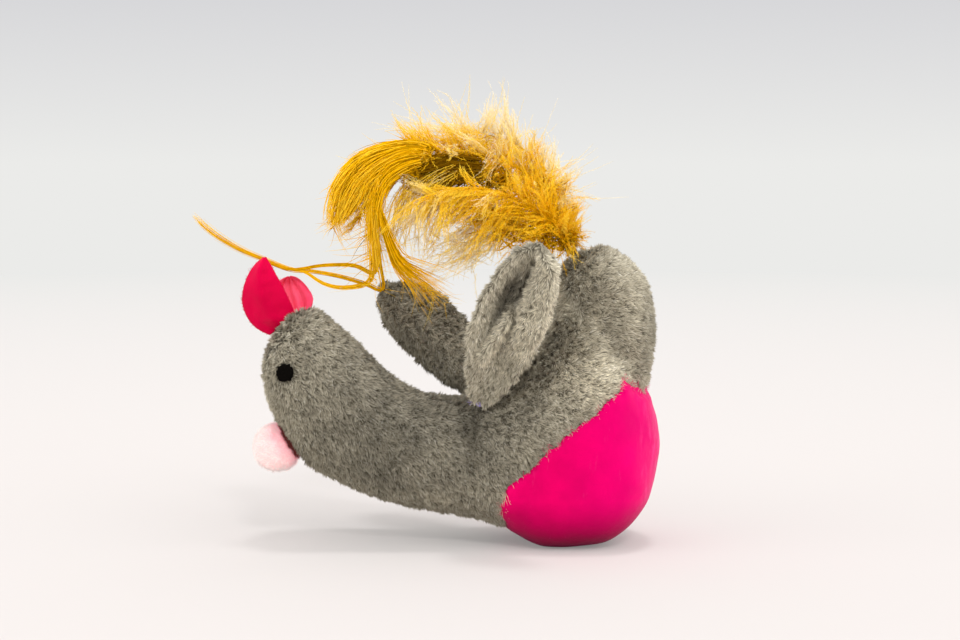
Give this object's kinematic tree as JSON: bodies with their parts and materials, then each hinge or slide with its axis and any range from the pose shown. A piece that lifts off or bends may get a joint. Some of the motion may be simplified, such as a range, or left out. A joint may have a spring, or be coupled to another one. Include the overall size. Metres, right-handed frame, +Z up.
{
  "type": "feathered bird cat toy",
  "caption": "Stuffed plush bird toy with a satin belly, pompom nose, petal crest, folded wings and a plume of dyed feathers at the rump.",
  "frame": {"origin": "on the floor under the middle of the whole bird", "axes": "+X from the face to the rump, -Y the bird's left side, +Z up"},
  "size_m": [0.113, 0.0538, 0.1029],
  "materials": {
    "grey_plush": "short soft pile",
    "belly_satin": "satin, soft sheen",
    "crest_satin": "satin, soft sheen",
    "fibre_fill": "loose fibre",
    "capsule_plastic": "smooth",
    "ball_steel": "polished",
    "eye_felt": "matte",
    "pompom_yarn": "fluffy",
    "violet_thread": "matte",
    "brown_thread": "matte",
    "orange_down": "soft down",
    "orange_feather": "feather web"
  },
  "bodies": {
    "body": {"left_body_panel": "grey_plush", "left_belly_panel": "belly_satin", "right_body_panel": "grey_plush", "right_belly_panel": "belly_satin", "head_stuffing": "fibre_fill", "neck_stuffing": "fibre_fill", "front_belly_stuffing": "fibre_fill", "rear_belly_stuffing": "fibre_fill", "rump_stuffing": "fibre_fill", "rattle_upper_shell": "capsule_plastic", "rattle_lower_shell": "capsule_plastic", "left_eye": "eye_felt", "right_eye": "eye_felt", "nose_pompom": "pompom_yarn"},
    "rattle_ball": {"rattle_ball": "ball_steel"},
    "left_wing_root": {"left_wing_tack": "violet_thread"},
    "right_wing_root": {"right_wing_tack": "violet_thread"},
    "left_wing": {"left_wing_front": "grey_plush", "left_wing_back": "grey_plush"},
    "right_wing": {"right_wing_front": "grey_plush", "right_wing_back": "grey_plush"},
    "crest_front": {"crest_front_petal": "crest_satin"},
    "crest_back": {"crest_back_petal": "crest_satin"},
    "tail_root": {"tail_tack": "brown_thread"},
    "tail": {"tail_binding": "brown_thread", "tail_middle_plume": "orange_down", "tail_near_plume": "orange_down", "tail_far_plume": "orange_down", "tail_hackle": "orange_feather", "tail_long_wisp": "orange_feather"}
  },
  "joints": [
    {"name": "rattle_roll", "type": "hinge", "parent": "body", "child": "rattle_ball", "pos_m": [0.0405, 0, 0.0188], "axis": [0, 1, 0], "continuous": true},
    {"name": "left_wing_sweep", "type": "hinge", "parent": "body", "child": "left_wing_root", "pos_m": [0.01304, -0.00891, 0.03518], "axis": [0, 1, 0], "range_deg": [-65, 5], "stiffness_Nm_per_rad": 0.003},
    {"name": "left_wing_flap", "type": "hinge", "parent": "left_wing_root", "child": "left_wing", "pos_m": [0.01304, -0.00891, 0.03518], "axis": [0.9397, 0, -0.342], "range_deg": [-5, 70], "stiffness_Nm_per_rad": 0.003},
    {"name": "right_wing_sweep", "type": "hinge", "parent": "body", "child": "right_wing_root", "pos_m": [0.01304, 0.00891, 0.03518], "axis": [0, 1, 0], "range_deg": [-5, 65], "stiffness_Nm_per_rad": 0.003},
    {"name": "right_wing_flap", "type": "hinge", "parent": "right_wing_root", "child": "right_wing", "pos_m": [0.01304, 0.00891, 0.03518], "axis": [-0.7071, 0, -0.7071], "range_deg": [-5, 70], "stiffness_Nm_per_rad": 0.003},
    {"name": "crest_front_flex", "type": "hinge", "parent": "body", "child": "crest_front", "pos_m": [-0.03663, -0.00077, 0.05096], "axis": [0.9925, 0, 0.1219], "range_deg": [-5, 8], "stiffness_Nm_per_rad": 0.0002},
    {"name": "crest_back_flex", "type": "hinge", "parent": "body", "child": "crest_back", "pos_m": [-0.03109, 0.00164, 0.05575], "axis": [-0.9903, 0, -0.1392], "range_deg": [-2, 15], "stiffness_Nm_per_rad": 0.0002},
    {"name": "tail_swing", "type": "hinge", "parent": "body", "child": "tail_root", "pos_m": [0.03507, 0, 0.07034], "axis": [0, 0, 1], "range_deg": [-14, 1], "stiffness_Nm_per_rad": 0.02},
    {"name": "tail_lift", "type": "hinge", "parent": "tail_root", "child": "tail", "pos_m": [0.03507, 0, 0.07034], "axis": [0, 1, 0], "range_deg": [0, 30], "stiffness_Nm_per_rad": 0.02}
  ]
}
